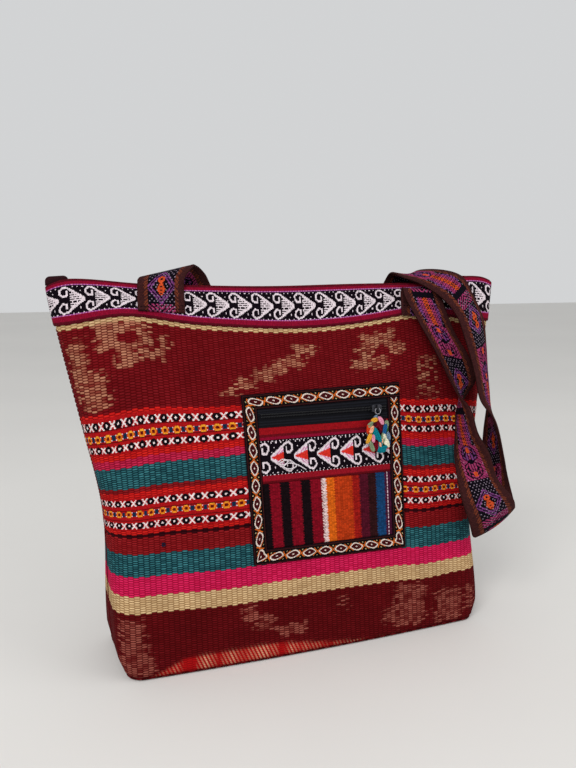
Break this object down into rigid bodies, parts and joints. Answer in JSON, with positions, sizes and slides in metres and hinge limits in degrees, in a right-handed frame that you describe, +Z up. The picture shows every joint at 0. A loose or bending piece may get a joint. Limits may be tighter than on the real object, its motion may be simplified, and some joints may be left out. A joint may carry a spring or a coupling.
{
  "type": "woven shoulder tote bag",
  "caption": "Trapezoid handwoven shoulder tote with a boxed bottom, ribbon-trimmed zip mouth, zipped patch pocket with a yarn tassel, and two flat woven straps.",
  "frame": {"origin": "middle of the base, on the surface that the bag stands on", "axes": "+X right along the front as seen from in front, -Y out of the front, +Z up"},
  "size_m": [0.4333, 0.1623, 0.3508],
  "materials": {
    "body_cloth": "handwoven wool, dark red with bright stripes",
    "base_cloth": "handwoven wool, red",
    "trim_ribbon": "woven ribbon, black, crimson and white",
    "zip_tape": "woven polyester tape, black",
    "zip_coil": "nylon coil, black",
    "end_tab_cloth": "folded ribbon, dark brown",
    "brass_metal": "aged brass",
    "border_ribbon": "woven ribbon, black, orange and white",
    "striped_cloth": "handwoven wool, upright stripes",
    "band_cloth": "woven band, crimson, black and white",
    "dark_metal": "dark enamelled zinc",
    "ring_metal": "nickel plated wire",
    "yarn": "wool yarn in many colours",
    "strap_band": "woven band, brown, black and violet"
  },
  "bodies": {
    "bag": {"front_panel": "body_cloth", "back_panel": "body_cloth", "base_panel": "base_cloth", "front_trim": "trim_ribbon", "back_trim": "trim_ribbon", "mouth_zip_tape_front": "zip_tape", "mouth_zip_tape_back": "zip_tape", "mouth_zip_coil_front": "zip_coil", "mouth_zip_coil_back": "zip_coil", "mouth_zip_end_tab": "end_tab_cloth", "pocket_border": "border_ribbon", "pocket_striped_cloth": "striped_cloth", "pocket_woven_band": "band_cloth", "pocket_zip_tape_upper": "zip_tape", "pocket_zip_tape_lower": "zip_tape", "pocket_zip_coil_upper": "zip_coil", "pocket_zip_coil_lower": "zip_coil", "front_strap": "strap_band", "back_strap": "strap_band"},
    "mouth_slider": {"mouth_zip_slider": "brass_metal"},
    "mouth_pull": {"mouth_zip_pull": "brass_metal"},
    "pocket_slider": {"pocket_zip_slider": "dark_metal"},
    "pocket_ring": {"pocket_pull_ring": "ring_metal"},
    "tassel": {"pocket_tassel": "yarn"}
  },
  "joints": [
    {"name": "mouth_zip_slide", "type": "slide", "parent": "bag", "child": "mouth_slider", "axis": [1, 0, 0], "range_m": [-0.344, 0]},
    {"name": "mouth_pull_swing", "type": "hinge", "parent": "mouth_slider", "child": "mouth_pull", "pos_m": [0.156, 0, 0.3222], "axis": [0, -1, 0], "range_deg": [0, 80]},
    {"name": "pocket_zip_slide", "type": "slide", "parent": "bag", "child": "pocket_slider", "axis": [1, 0, 0], "range_m": [-0.107, 0]},
    {"name": "pocket_ring_swing", "type": "hinge", "parent": "pocket_slider", "child": "pocket_ring", "pos_m": [0.066, -0.03424, 0.21594], "axis": [0, -0.9888, 0.1492], "range_deg": [-45, 45]},
    {"name": "tassel_lift", "type": "hinge", "parent": "pocket_ring", "child": "tassel", "pos_m": [0.066, -0.03464, 0.21327], "axis": [-1, 0, 0], "range_deg": [0, 65]}
  ]
}
